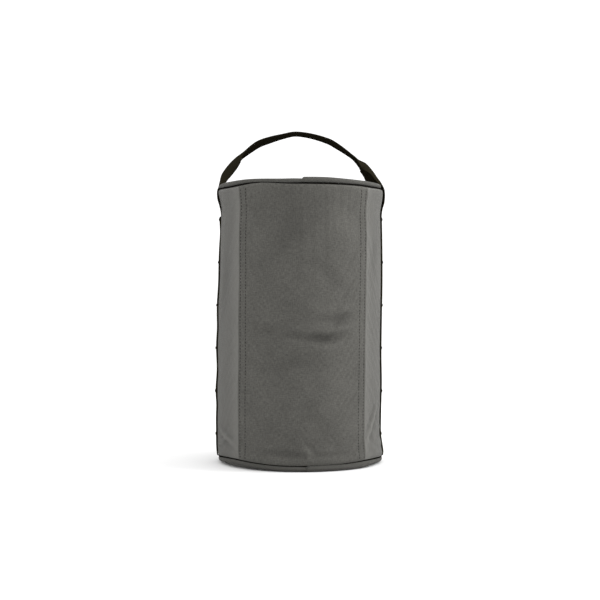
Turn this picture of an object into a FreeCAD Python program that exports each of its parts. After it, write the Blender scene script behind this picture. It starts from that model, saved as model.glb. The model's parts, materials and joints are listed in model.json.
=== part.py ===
import FreeCAD, Part
import math
import os

# A padded fabric carry case with a hard bear canister inside it.
# Millimetres. The origin is the centre of the base, +Z is up, and the front faces -Y.
# Angles around the wall are measured from the front centre, positive towards +X.

V = FreeCAD.Vector
UP = V(0, 0, 1)
ORIGIN = V(0, 0, 0)

# Driving dimensions of the case
BODY_RADIUS = 115.0
BODY_HEIGHT = 392.0
FABRIC = 1.2
FOAM = 3.0
LINING = 0.8
FRONT_PANEL_LEFT = 46.3
FRONT_PANEL_RIGHT = 50.2
PANEL_GAP = 0.05
PIPING_PROUD = 1.1
PIPING_RADIUS = 3.5
PIPING_CORD_RADIUS = 2.5
PIPING_LIFT = 0.2
SEAM_GAP = 0.2
BINDING_THICKNESS = 2.4
BINDING_HEIGHT = 10.0
BOARD = 2.0

# Webbing: one strap down each side, which goes on over the top as the handle
STRAP_WIDTH = 38.0
STRAP_THICKNESS = 1.8
STRAP_BOTTOM = 10.0
STRAP_GAP = 0.1
HANDLE_PIVOT = 346.0
HANDLE_SHOULDER = 379.0
HANDLE_HALF_WIDTH = 119.2
HANDLE_TOP = 466.0
HANDLE_ROUNDNESS = 1.85
TACK_TOP = 343.0
TACK_PITCH = 60.6
TACK_COUNT = 6
TACK_HEIGHT = 2.5
TACK_WIDTH = 34.0
TACK_PROUD = 0.6

# Lid and zip, in the top face
HINGE_LINE = -88.0
HINGE_GAP = 0.3
LID_RADIUS = 99.8
LID_FOAM_RADIUS = 96.5
LID_LINING_RADIUS = 97.5
ZIP_RADIUS = 104.5
COIL_WIDTH = 3.0
COIL_HEIGHT = 2.2
COIL_GAP = 0.3
TAPE_THICKNESS = 0.8
TAPE_INNER_RADIUS = 97.0
TAPE_Z = 385.2
TAPE_START = 32.6
CASE_COIL_START = 35.5
TAB_HALF_SPAN = 48.0
TAB_LENGTH = 12.0
TAB_DEPTH = 4.0
TAB_HINGE_DISTANCE = 2.3
TAB_THICKNESS = 1.0

# Zip slider and pull
SLIDER_LENGTH = 12.0
SLIDER_HALF_WIDTH = 4.2
SLIDER_TAIL_HALF_WIDTH = 3.9
SLIDER_PLATE = 1.3
SLIDER_LIP = 0.6
SLIDER_CLEARANCE = 0.2
WEDGE_LENGTH = 3.0
WEDGE_HALF_WIDTH = 1.1
BRIDGE_HALF_LENGTH = 2.7
BRIDGE_HALF_OPENING = 1.5
BRIDGE_HALF_WIDTH = 1.2
BRIDGE_HEIGHT = 4.0
BRIDGE_BAR = 1.0
PIVOT_ABOVE_PLATE = 1.6
PULL_BAR_RADIUS = 0.7
PULL_HALF_WIDTH = 3.4
PULL_ARM_WIDTH = 1.4
PULL_ARM_LENGTH = 8.0
PULL_TAB_LENGTH = 18.0
PULL_TAB_LIFT = 0.9
PULL_TAB_THICKNESS = 1.6
PULL_HOLE_RADIUS = 1.6

# Hard canister
CANISTER_RADIUS = 102.5
CANISTER_HEIGHT = 368.0
CANISTER_WALL = 4.0
CANISTER_FLOOR = 5.0
CANISTER_CORNER = 9.0
LEDGE_INNER_RADIUS = 90.0
LEDGE_THICKNESS = 4.0
LEDGE_DEPTH = 6.4
LID_GAP = 0.6
LID_PLATE = 5.0
LID_RIM_WIDTH = 6.0
LID_RIM_HEIGHT = 1.2
GRIP_BAR_LENGTH = 84.0
GRIP_BAR_WIDTH = 12.0
GRIP_BAR_HEIGHT = 1.2
RIB_SPACING = 110.0
RIB_HEIGHT = 5.0
RIB_DEPTH = 1.0

# Coin-turned locks in the canister's lid
LOCK_ANGLES = (90.0, 210.0, 330.0)
LOCK_CIRCLE = 78.0
STUD_HEAD_RADIUS = 9.0
STUD_HEAD_HEIGHT = 2.4
STUD_RADIUS = 5.0
STUD_FIT = 0.08
SLOT_WIDTH = 2.4
SLOT_DEPTH = 1.4
CAM_THICKNESS = 2.4
CAM_REACH = 17.0
CAM_HALF_WIDTH = 6.5
CAM_GAP = 0.3
SLEEVE_RADIUS = 7.5
NUT_ACROSS_CORNERS = 16.0
NUT_HEIGHT = 4.0

# Heights and radii that follow from them
CORD_RADIUS = PIPING_CORD_RADIUS - 0.05
PIPING_CIRCLE = BODY_RADIUS + PIPING_PROUD - PIPING_RADIUS
PIPING_INNER = PIPING_CIRCLE - PIPING_RADIUS
BASE_PIPING_Z = PIPING_LIFT + PIPING_RADIUS
RIM_PIPING_Z = BODY_HEIGHT - PIPING_RADIUS
WALL_BOTTOM = PIPING_LIFT + 2 * PIPING_RADIUS + SEAM_GAP
WALL_TOP = BODY_HEIGHT - 2 * PIPING_RADIUS - SEAM_GAP
FOAM_OUTER = BODY_RADIUS - FABRIC
LINING_OUTER = FOAM_OUTER - FOAM
LINING_INNER = LINING_OUTER - LINING
BINDING_OUTER = LINING_INNER - SEAM_GAP
COIL_Z = TAPE_Z + TAPE_THICKNESS
COIL_TOP = COIL_Z + COIL_HEIGHT
TOP_FABRIC_Z = COIL_Z
TOP_FABRIC_TOP = TOP_FABRIC_Z + FABRIC
PLATE_Z = COIL_TOP + SLIDER_CLEARANCE
PLATE_TOP = PLATE_Z + SLIDER_PLATE
PULL_PIVOT_Z = PLATE_TOP + PIVOT_ABOVE_PLATE
SLIDER_ANGLE = math.degrees(math.asin((SLIDER_LENGTH / 2 + COIL_GAP) / ZIP_RADIUS))
CANISTER_BOTTOM = WALL_BOTTOM
CANISTER_TOP = CANISTER_BOTTOM + CANISTER_HEIGHT
LEDGE_TOP = CANISTER_TOP - LEDGE_DEPTH
LEDGE_BOTTOM = LEDGE_TOP - LEDGE_THICKNESS
LID_BOTTOM = LEDGE_TOP + SEAM_GAP
LID_PLATE_TOP = LID_BOTTOM + LID_PLATE
CAM_TOP = LEDGE_BOTTOM - CAM_GAP
CAM_BOTTOM = CAM_TOP - CAM_THICKNESS
NUT_BOTTOM = CAM_BOTTOM - NUT_HEIGHT


def disc(radius, z_low, z_high, centre=(0, 0)):
    return Part.makeCylinder(radius, z_high - z_low, V(centre[0], centre[1], z_low))


def ring(r_in, r_out, z_low, z_high, centre=(0, 0)):
    return disc(r_out, z_low, z_high, centre).cut(disc(r_in, z_low, z_high, centre))


def block(x, y, z):
    """A box between two limits along each axis."""
    return Part.makeBox(x[1] - x[0], y[1] - y[0], z[1] - z[0], V(x[0], y[0], z[0]))


def band(r_in, r_out, z_low, z_high, start, end):
    """A stretch of a ring, from one angle to another around the wall."""
    outline = Part.makePolygon(
        [
            V(r_in, 0, z_low),
            V(r_out, 0, z_low),
            V(r_out, 0, z_high),
            V(r_in, 0, z_high),
            V(r_in, 0, z_low),
        ]
    )
    turned = Part.Face(outline).revolve(ORIGIN, UP, end - start)
    turned.rotate(ORIGIN, UP, start - 90)
    return turned


def outline_face(points):
    """A flat face in the XY plane with straight sides."""
    return Part.Face(Part.makePolygon([V(x, y, 0) for x, y in [*points, points[0]]]))


def placed(shape, x, y, z, turn):
    shape.rotate(ORIGIN, UP, turn)
    shape.translate(V(x, y, z))
    return shape


# The wall: four outer panels over one foam sleeve and one lining


def wall_panels():
    left, right = -FRONT_PANEL_LEFT, FRONT_PANEL_RIGHT
    edges = {
        "front_panel": (left, right),
        "side_panel_right": (right, 180 - right),
        "back_panel": (180 - right, 180 - left),
        "side_panel_left": (180 - left, 360 + left),
    }
    return {
        name: band(FOAM_OUTER, BODY_RADIUS, WALL_BOTTOM, WALL_TOP, start + PANEL_GAP, end - PANEL_GAP)
        for name, (start, end) in edges.items()
    }


def wall_layers():
    return {
        "wall_foam": ring(LINING_OUTER, FOAM_OUTER, WALL_BOTTOM, WALL_TOP),
        "wall_lining": ring(LINING_INNER, LINING_OUTER, WALL_BOTTOM, WALL_TOP),
    }


def piping(name, z):
    """A cord in a fabric tube, all around the wall."""
    outside = Part.makeTorus(PIPING_CIRCLE, PIPING_RADIUS, V(0, 0, z))
    inside = Part.makeTorus(PIPING_CIRCLE, PIPING_CORD_RADIUS, V(0, 0, z))
    return {
        f"{name}_piping_cover": outside.cut(inside),
        f"{name}_piping_cord": Part.makeTorus(PIPING_CIRCLE, CORD_RADIUS, V(0, 0, z)),
    }


def seam_bindings():
    """Tape folded over the raw edges of the rim seam and the base seam, inside the case."""
    inner = BINDING_OUTER - BINDING_THICKNESS
    low = WALL_BOTTOM + SEAM_GAP
    high = TAPE_Z - SLIDER_PLATE - 2 * SLIDER_CLEARANCE - COIL_GAP
    return {
        "base_seam_binding": ring(inner, BINDING_OUTER, low, low + BINDING_HEIGHT),
        "rim_seam_binding": ring(inner, BINDING_OUTER, high - BINDING_HEIGHT, high),
    }


def base_layers():
    """Outer fabric, stiffening board, foam and lining, from the floor up."""
    radius = PIPING_INNER - SEAM_GAP
    board_top = FABRIC + BOARD
    foam_top = board_top + FOAM
    return {
        "base_panel": disc(radius, 0, FABRIC),
        "base_board": disc(radius - 2, FABRIC, board_top),
        "base_foam": disc(radius - 1, board_top, foam_top),
        "base_lining": disc(radius, foam_top, foam_top + LINING),
    }


# The webbing


def side_strap(facing):
    """The sewn strap down one side. It follows the wall's curve."""
    half = math.degrees(STRAP_WIDTH / 2 / BODY_RADIUS)
    inner = BODY_RADIUS + STRAP_GAP
    outer = inner + STRAP_THICKNESS
    return band(inner, outer, STRAP_BOTTOM, HANDLE_PIVOT - STRAP_GAP, facing - half, facing + half)


def bar_tacks():
    """The raised bars of zigzag stitching that hold each strap down."""
    half = math.degrees(TACK_WIDTH / 2 / BODY_RADIUS)
    inner = BODY_RADIUS + STRAP_GAP + STRAP_THICKNESS
    bars = []
    for facing in (-90, 90):
        for i in range(TACK_COUNT):
            z = TACK_TOP - i * TACK_PITCH
            low, high = z - TACK_HEIGHT / 2, z + TACK_HEIGHT / 2
            bars.append(band(inner, inner + TACK_PROUD, low, high, facing - half, facing + half))
    return Part.makeCompound(bars)


def arch_curve(half_width, rise):
    """The handle's arch as a superellipse from one shoulder over the top to the other."""
    steps = 16
    power = 2 / HANDLE_ROUNDNESS
    points = []
    for i in range(steps + 1):
        turn = math.pi * i / steps
        across = math.copysign(abs(math.cos(turn)) ** power, math.cos(turn))
        points.append(V(half_width * across, 0, HANDLE_SHOULDER + rise * math.sin(turn) ** power))
    curve = Part.BSplineCurve()
    curve.interpolate(points)
    return curve.toShape()


def handle_strap():
    """The free part of the webbing: two feet from the top tacks, and the arch between them."""
    half = HANDLE_HALF_WIDTH
    foot = BODY_RADIUS + STRAP_GAP + STRAP_THICKNESS + SEAM_GAP
    rise = HANDLE_TOP - HANDLE_SHOULDER
    thin = STRAP_THICKNESS
    outer_right = V(half, 0, HANDLE_SHOULDER)
    outer_left = V(-half, 0, HANDLE_SHOULDER)
    inner_right = V(half - thin, 0, HANDLE_SHOULDER)
    inner_left = V(thin - half, 0, HANDLE_SHOULDER)
    edges = [
        Part.makeLine(V(foot, 0, HANDLE_PIVOT), outer_right),
        arch_curve(half, rise),
        Part.makeLine(outer_left, V(-foot, 0, HANDLE_PIVOT)),
        Part.makeLine(V(-foot, 0, HANDLE_PIVOT), V(thin - foot, 0, HANDLE_PIVOT)),
        Part.makeLine(V(thin - foot, 0, HANDLE_PIVOT), inner_left),
        arch_curve(half - thin, rise - thin),
        Part.makeLine(inner_right, V(foot - thin, 0, HANDLE_PIVOT)),
        Part.makeLine(V(foot - thin, 0, HANDLE_PIVOT), V(foot, 0, HANDLE_PIVOT)),
    ]
    face = Part.Face(Part.Wire(Part.__sortEdges__(edges)))
    face.translate(V(0, -STRAP_WIDTH / 2, 0))
    return face.extrude(V(0, STRAP_WIDTH, 0))


# The top face: a lid that hinges on a strip of its own fabric, with a zip around the rest


def lid_side_of_hinge(shape, gap):
    """The part of a flat shape that lies behind the hinge line."""
    size = 2 * BODY_RADIUS
    return shape.common(block((-size, size), (HINGE_LINE + gap, size), (0, 2 * BODY_HEIGHT)))


def lid_layers():
    foam_bottom = TOP_FABRIC_Z - FOAM
    panel = disc(LID_RADIUS, TOP_FABRIC_Z, TOP_FABRIC_TOP)
    foam = disc(LID_FOAM_RADIUS, foam_bottom, TOP_FABRIC_Z)
    lining = disc(LID_LINING_RADIUS, foam_bottom - LINING, foam_bottom)
    return {
        "lid_panel": lid_side_of_hinge(panel, HINGE_GAP),
        "lid_foam": lid_side_of_hinge(foam, FOAM),
        "lid_lining": lid_side_of_hinge(lining, FOAM),
    }


def hinge_strip():
    """The strip of top fabric between the hinge line and the rim."""
    size = 2 * BODY_RADIUS
    front = block((-size, size), (-size, HINGE_LINE - HINGE_GAP), (0, 2 * BODY_HEIGHT))
    return disc(PIPING_INNER - SEAM_GAP / 2, TOP_FABRIC_Z, TOP_FABRIC_TOP).common(front)


def zip_end_tabs():
    """Small fabric tabs that cover the zip's two ends."""
    tabs = []
    for side in (-1, 1):
        middle = side * TAB_HALF_SPAN
        x = (middle - TAB_LENGTH / 2, middle + TAB_LENGTH / 2)
        near = HINGE_LINE - TAB_HINGE_DISTANCE
        y = (near - TAB_DEPTH, near)
        tabs.append(block(x, y, (TOP_FABRIC_TOP, TOP_FABRIC_TOP + TAB_THICKNESS)))
    return Part.makeCompound(tabs)


def slider_place(shape, side):
    """Puts a shape drawn on its own track, which runs along +X, on the zip at the far centre."""
    angle = math.radians(90 - side * SLIDER_ANGLE)
    turn = math.degrees(angle) - side * 90
    return placed(shape, ZIP_RADIUS * math.cos(angle), ZIP_RADIUS * math.sin(angle), 0, turn)


def slider_wedge(grown):
    """The diamond between the slider's plates, which parts the two coils."""
    middle = -SLIDER_LENGTH / 2 + WEDGE_LENGTH / 2 + 1
    half_length = WEDGE_LENGTH / 2 + grown
    half_width = WEDGE_HALF_WIDTH + grown
    diamond = outline_face(
        [
            (middle - half_length, 0),
            (middle, -half_width),
            (middle + half_length, 0),
            (middle, half_width),
        ]
    )
    diamond.translate(V(0, 0, TAPE_Z - SLIDER_CLEARANCE))
    return diamond.extrude(V(0, 0, PLATE_Z - TAPE_Z + SLIDER_CLEARANCE))


def zip_halves():
    """The two woven tapes and the two coils, parted a little around each slider's wedge."""
    end = 360 - TAPE_START
    case_coil_end = 360 - CASE_COIL_START
    inner_edge = ZIP_RADIUS - COIL_GAP
    outer_edge = ZIP_RADIUS + COIL_GAP
    tape_top = TAPE_Z + TAPE_THICKNESS
    halves = {
        "zip_tape_case": band(outer_edge, PIPING_INNER - SEAM_GAP, TAPE_Z, tape_top, TAPE_START, end),
        "zip_coil_case": band(
            outer_edge, ZIP_RADIUS + COIL_WIDTH, COIL_Z, COIL_TOP, CASE_COIL_START, case_coil_end
        ),
        "zip_tape_lid": band(TAPE_INNER_RADIUS, inner_edge, TAPE_Z, tape_top, TAPE_START, end),
        "zip_coil_lid": band(ZIP_RADIUS - COIL_WIDTH, inner_edge, COIL_Z, COIL_TOP, TAPE_START, end),
    }
    for side in (-1, 1):
        parting = slider_place(slider_wedge(SLIDER_CLEARANCE), side)
        halves = {name: half.cut(parting) for name, half in halves.items()}
    return halves


def slider(side):
    """Two plates joined by the wedge, lips that hold the coils, and a bridge for the pull."""
    half = SLIDER_LENGTH / 2
    wide, narrow = SLIDER_HALF_WIDTH, SLIDER_TAIL_HALF_WIDTH
    outline = outline_face([(-half, -wide), (half, -narrow), (half, narrow), (-half, wide)])
    top = outline.extrude(V(0, 0, SLIDER_PLATE))
    bottom = top.copy()
    top.translate(V(0, 0, PLATE_Z))
    bottom.translate(V(0, 0, TAPE_Z - SLIDER_CLEARANCE - SLIDER_PLATE))
    pieces = [bottom, slider_wedge(0)]
    for edge in (-1, 1):
        y = sorted((edge * (narrow - SLIDER_LIP), edge * narrow))
        pieces.append(block((-half, half), y, (COIL_Z + SLIDER_LIP, PLATE_Z)))
        x = sorted((edge * BRIDGE_HALF_OPENING, edge * BRIDGE_HALF_LENGTH))
        pieces.append(
            block(x, (-BRIDGE_HALF_WIDTH, BRIDGE_HALF_WIDTH), (PLATE_TOP, PLATE_TOP + BRIDGE_HEIGHT))
        )
    pieces.append(
        block(
            (-BRIDGE_HALF_LENGTH, BRIDGE_HALF_LENGTH),
            (-BRIDGE_HALF_WIDTH, BRIDGE_HALF_WIDTH),
            (PLATE_TOP + BRIDGE_HEIGHT - BRIDGE_BAR, PLATE_TOP + BRIDGE_HEIGHT),
        )
    )
    return slider_place(top.fuse(pieces).removeSplitter(), side)


def pull(side):
    """A cross bar under the bridge, two arms past it, and a cranked tab with a hole."""
    reach = PULL_ARM_LENGTH + PULL_TAB_LENGTH
    low, high = PULL_TAB_LIFT, PULL_TAB_LIFT + PULL_TAB_THICKNESS
    bar = Part.makeCylinder(
        PULL_BAR_RADIUS, 2 * PULL_HALF_WIDTH, V(0, -PULL_HALF_WIDTH, 0), V(0, 1, 0)
    )
    pieces = []
    for edge in (-1, 1):
        y = sorted((edge * (PULL_HALF_WIDTH - PULL_ARM_WIDTH), edge * PULL_HALF_WIDTH))
        pieces.append(block((0, PULL_ARM_LENGTH), y, (-PULL_BAR_RADIUS, PULL_BAR_RADIUS)))
    step = block(
        (PULL_ARM_LENGTH - PULL_ARM_WIDTH, PULL_ARM_LENGTH + PULL_ARM_WIDTH),
        (-PULL_HALF_WIDTH, PULL_HALF_WIDTH),
        (-PULL_BAR_RADIUS, high),
    )
    tab = block((PULL_ARM_LENGTH, reach - PULL_HALF_WIDTH), (-PULL_HALF_WIDTH, PULL_HALF_WIDTH), (low, high))
    tip_centre = (reach - PULL_HALF_WIDTH, 0)
    tip = disc(PULL_HALF_WIDTH, low, high, tip_centre)
    shape = bar.fuse([*pieces, step, tab, tip]).cut(disc(PULL_HOLE_RADIUS, low, high, tip_centre))
    shape.translate(V(0, 0, PULL_PIVOT_Z))
    return slider_place(shape.removeSplitter(), side)


# The hard canister


def edges_at(shape, z, radius):
    """The round edges of a shape at one height and radius."""
    return [
        edge
        for edge in shape.Edges
        if isinstance(edge.Curve, Part.Circle)
        and abs(edge.Curve.Center.z - z) < 1e-6
        and abs(edge.Curve.Radius - radius) < 1e-6
    ]


def canister_shell():
    """A moulded pot with stiffening ribs around it and a ledge that the lid sits on."""
    inner_radius = CANISTER_RADIUS - CANISTER_WALL
    floor = CANISTER_BOTTOM + CANISTER_FLOOR
    outside = disc(CANISTER_RADIUS - RIB_DEPTH, CANISTER_BOTTOM, CANISTER_TOP)
    outside = outside.makeFillet(
        CANISTER_CORNER, edges_at(outside, CANISTER_BOTTOM, CANISTER_RADIUS - RIB_DEPTH)
    )
    inside = disc(inner_radius, floor, LEDGE_BOTTOM)
    inside = inside.makeFillet(CANISTER_CORNER - CANISTER_WALL, edges_at(inside, floor, inner_radius))
    shell = outside.cut(inside)
    shell = shell.cut(disc(LEDGE_INNER_RADIUS, LEDGE_BOTTOM, LEDGE_TOP))
    shell = shell.cut(disc(inner_radius, LEDGE_TOP, CANISTER_TOP))
    middle = (CANISTER_BOTTOM + CANISTER_TOP) / 2
    ribs = [CANISTER_TOP - RIB_HEIGHT]
    ribs += [middle + i * RIB_SPACING - RIB_HEIGHT / 2 for i in (-1, 0, 1)]
    for z in ribs:
        shell = shell.fuse(ring(CANISTER_RADIUS - CANISTER_WALL / 2, CANISTER_RADIUS, z, z + RIB_HEIGHT))
    return shell.removeSplitter()


def lock_centre(angle):
    turn = math.radians(angle)
    return (LOCK_CIRCLE * math.cos(turn), LOCK_CIRCLE * math.sin(turn))


def canister_lid():
    """A recessed plate with a raised rim, a grip bar, and a bore for each lock."""
    radius = CANISTER_RADIUS - CANISTER_WALL - LID_GAP
    plate = disc(radius, LID_BOTTOM, LID_PLATE_TOP)
    rim = ring(radius - LID_RIM_WIDTH, radius, LID_PLATE_TOP, LID_PLATE_TOP + LID_RIM_HEIGHT)
    grip = block(
        (-GRIP_BAR_LENGTH / 2, GRIP_BAR_LENGTH / 2),
        (-GRIP_BAR_WIDTH / 2, GRIP_BAR_WIDTH / 2),
        (LID_PLATE_TOP, LID_PLATE_TOP + GRIP_BAR_HEIGHT),
    )
    lid = plate.fuse([rim, grip])
    for angle in LOCK_ANGLES:
        lid = lid.cut(disc(STUD_RADIUS + STUD_FIT, LID_BOTTOM, LID_PLATE_TOP, lock_centre(angle)))
    return lid.removeSplitter()


def lock_parts(number, angle):
    """One lock: a slotted stud through the lid, with a sleeve, a cam and a nut under it.

    It is drawn at the centre with its cam along +X, and then moved out to its place.
    """
    head_top = LID_PLATE_TOP + STUD_HEAD_HEIGHT
    stud = disc(STUD_HEAD_RADIUS, LID_PLATE_TOP, head_top)
    stud = stud.fuse(disc(STUD_RADIUS, NUT_BOTTOM - 1, LID_PLATE_TOP))
    half_slot = SLOT_WIDTH / 2
    slot = block(
        (-STUD_HEAD_RADIUS, STUD_HEAD_RADIUS), (-half_slot, half_slot), (head_top - SLOT_DEPTH, head_top)
    )
    cam_body = block((0, CAM_REACH - CAM_HALF_WIDTH), (-CAM_HALF_WIDTH, CAM_HALF_WIDTH), (CAM_BOTTOM, CAM_TOP))
    cam_tip = disc(CAM_HALF_WIDTH, CAM_BOTTOM, CAM_TOP, (CAM_REACH - CAM_HALF_WIDTH, 0))
    cam = disc(SLEEVE_RADIUS, CAM_BOTTOM, CAM_TOP).fuse([cam_body, cam_tip])
    corner = NUT_ACROSS_CORNERS / 2
    turns = [math.radians(60 * i) for i in range(6)]
    nut = outline_face([(corner * math.cos(turn), corner * math.sin(turn)) for turn in turns])
    nut.translate(V(0, 0, NUT_BOTTOM))
    nut = nut.extrude(V(0, 0, NUT_HEIGHT))
    bore = disc(STUD_RADIUS, NUT_BOTTOM, CAM_TOP)
    shapes = {
        "stud": stud.removeSplitter().cut(slot),
        "sleeve": ring(STUD_RADIUS, SLEEVE_RADIUS, CAM_TOP, LID_BOTTOM - SEAM_GAP),
        "cam": cam.removeSplitter().cut(bore),
        "nut": nut.cut(bore),
    }
    x, y = lock_centre(angle)
    return {f"lock_{name}_{number}": placed(shape, x, y, 0, angle) for name, shape in shapes.items()}


def all_nodes():
    nodes = {}
    nodes.update(wall_panels())
    nodes.update(wall_layers())
    nodes.update(piping("rim", RIM_PIPING_Z))
    nodes.update(piping("base", BASE_PIPING_Z))
    nodes.update(seam_bindings())
    nodes.update(base_layers())
    nodes["side_strap_left"] = side_strap(-90)
    nodes["side_strap_right"] = side_strap(90)
    nodes["strap_bar_tacks"] = bar_tacks()
    nodes["handle_strap"] = handle_strap()
    nodes.update(lid_layers())
    nodes["hinge_strip"] = hinge_strip()
    nodes["zip_end_tabs"] = zip_end_tabs()
    nodes.update(zip_halves())
    for name, side in (("left", -1), ("right", 1)):
        nodes[f"zip_slider_{name}"] = slider(side)
        nodes[f"zip_pull_{name}"] = pull(side)
    nodes["canister_shell"] = canister_shell()
    nodes["canister_lid"] = canister_lid()
    for i, angle in enumerate(LOCK_ANGLES):
        nodes.update(lock_parts(i + 1, angle))
    return nodes


os.makedirs("parts", exist_ok=True)
for name, shape in all_nodes().items():
    shape.exportStep(f"parts/{name}.step")
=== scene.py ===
import json
import math

import bmesh
import bpy
import numpy as np
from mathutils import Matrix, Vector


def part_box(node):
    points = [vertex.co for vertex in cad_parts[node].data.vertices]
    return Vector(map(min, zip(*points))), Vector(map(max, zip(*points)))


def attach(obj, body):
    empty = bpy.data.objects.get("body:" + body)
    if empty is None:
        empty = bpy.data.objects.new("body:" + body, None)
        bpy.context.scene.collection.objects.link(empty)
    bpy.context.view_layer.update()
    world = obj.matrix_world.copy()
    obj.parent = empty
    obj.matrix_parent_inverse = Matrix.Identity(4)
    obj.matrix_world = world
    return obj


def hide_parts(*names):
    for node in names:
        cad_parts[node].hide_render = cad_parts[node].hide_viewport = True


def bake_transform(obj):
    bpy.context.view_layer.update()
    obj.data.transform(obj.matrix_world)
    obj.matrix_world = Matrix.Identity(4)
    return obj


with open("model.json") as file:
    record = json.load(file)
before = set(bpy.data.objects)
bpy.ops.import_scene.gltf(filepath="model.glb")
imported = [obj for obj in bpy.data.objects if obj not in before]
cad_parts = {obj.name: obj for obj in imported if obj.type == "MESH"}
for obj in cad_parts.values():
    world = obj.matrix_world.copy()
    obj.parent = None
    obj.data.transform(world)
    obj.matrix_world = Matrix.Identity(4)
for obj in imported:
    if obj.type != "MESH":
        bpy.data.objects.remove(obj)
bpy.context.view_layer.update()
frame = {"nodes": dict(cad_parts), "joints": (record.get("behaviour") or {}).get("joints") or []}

# A bear canister in its padded fabric case. Everything is in metres, in the frame's own axes:
# the front faces -Y, +X is to the right, and the floor is z = 0.
# "turn" is the angle around the wall from the front centre, positive towards +X, in radians.
# "arc" is how far that is along the wall, in metres.

MM = 0.001

# ---------------------------------------------------------------- sizes from the frame

joints = {joint["name"]: joint for joint in frame["joints"]}
rim_low, rim_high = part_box("rim_piping_cover")
base_low, base_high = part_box("base_piping_cover")
panel_low, panel_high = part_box("front_panel")
handle_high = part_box("handle_strap")[1]
lining_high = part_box("wall_lining")[1]
lid_low, lid_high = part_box("lid_panel")
tape_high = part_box("zip_tape_case")[1]
coil_low, coil_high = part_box("zip_coil_lid")
case_coil_low, case_coil_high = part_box("zip_coil_case")

WALL_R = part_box("side_panel_right")[1].x
WALL_LOW, WALL_HIGH = panel_low.z, panel_high.z
FRONT_LEFT = -math.asin(-panel_low.x / WALL_R)
FRONT_RIGHT = math.asin(panel_high.x / WALL_R)
LINING_R = lining_high.x - 0.8 * MM
PIPE_R = (rim_high.z - rim_low.z) / 2
PIPE_CIRCLE = rim_high.x - PIPE_R
RIM_Z = (rim_low.z + rim_high.z) / 2
BASE_Z = (base_low.z + base_high.z) / 2
STRAP_HALF = handle_high.y
STRAP_THICK = 1.8 * MM
STRAP_GAP = 0.3 * MM
FABRIC = 1.0 * MM
ZIP_R = (coil_high.x + case_coil_high.x - 3 * MM) / 2
HINGE_Y, HINGE_Z = joints["lid_open"]["pos_m"][1:]
HANDLE_PIVOT_Z = joints["handle_swing"]["pos_m"][2]

# ---------------------------------------------------------------- shape helpers


def smooth(x, xs, ys):
    """A smooth curve through the points (xs, ys), level at both ends."""
    xs, ys = np.array(xs, float), np.array(ys, float)
    slopes = np.gradient(ys, xs)
    slopes[0] = slopes[-1] = 0
    x = np.clip(x, xs[0], xs[-1])
    i = np.clip(np.searchsorted(xs, x) - 1, 0, len(xs) - 2)
    step = xs[i + 1] - xs[i]
    t = (x - xs[i]) / step
    return (
        ys[i] * (1 + 2 * t) * (1 - t) ** 2
        + ys[i + 1] * t * t * (3 - 2 * t)
        + step * (slopes[i] * t * (1 - t) ** 2 + slopes[i + 1] * t * t * (t - 1))
    )


def bell(x):
    return np.exp(-x * x)


def hump(place, centre, width):
    """1 at the centre, falling to 0 on both sides of it. centre and width are in millimetres."""
    return bell((place - centre * MM) / (width * MM))


def full_circle(count):
    return np.linspace(0, 2 * math.pi, count, endpoint=False)


def ripple(u, v, seed, scale):
    """Gentle irregular waves, about 1 high and scale metres long, the same on every run."""
    count = 7
    draw = np.random.RandomState(seed)
    total = np.zeros(np.broadcast(u, v).shape)
    for _ in range(count):
        heading, phase = draw.uniform(0, 2 * math.pi, 2)
        rate = 2 * math.pi / (scale * draw.uniform(0.7, 1.8))
        total += np.sin(rate * (u * math.cos(heading) + v * math.sin(heading)) + phase)
    return total / math.sqrt(count)


def make_piece(name, verts, faces, material, coords=None, body=None):
    """A smooth mesh object. coords are each vertex's place on the cloth, along and across it."""
    mesh = bpy.data.meshes.new(name)
    mesh.from_pydata([tuple(v) for v in verts], [], faces)
    piece = bpy.data.objects.new(name, mesh)
    bpy.context.scene.collection.objects.link(piece)
    bm = bmesh.new()
    bm.from_mesh(mesh)
    bmesh.ops.recalc_face_normals(bm, faces=bm.faces)
    bm.to_mesh(mesh)
    bm.free()
    mesh.polygons.foreach_set("use_smooth", [True] * len(mesh.polygons))
    if coords is not None:
        for label, values in zip(("cloth_u", "cloth_v"), np.broadcast_arrays(*coords)):
            layer = mesh.attributes.new(label, "FLOAT", "POINT")
            layer.data.foreach_set("value", values.astype(np.float32).ravel())
    mesh.materials.append(material)
    if body:
        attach(piece, body)
    return piece


def grid_faces(rows, columns, wrap_rows, wrap_columns=False, first=0, flip=False):
    """The quads of a grid of points. Wrapping joins the last row or column to the first."""
    faces = []
    for i in range(rows if wrap_rows else rows - 1):
        for j in range(columns if wrap_columns else columns - 1):
            a, b = i * columns, (i + 1) % rows * columns
            k = (j + 1) % columns
            quad = (first + a + j, first + b + j, first + b + k, first + a + k)
            faces.append(quad[::-1] if flip else quad)
    return faces


def capped_tube(rows, columns, first=0):
    """The faces of a tube of rings of points, with its two ends closed."""
    end = first + rows * columns
    caps = [tuple(range(first, first + columns))[::-1], tuple(range(end - columns, end))]
    return grid_faces(rows, columns, False, True, first) + caps


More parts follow.
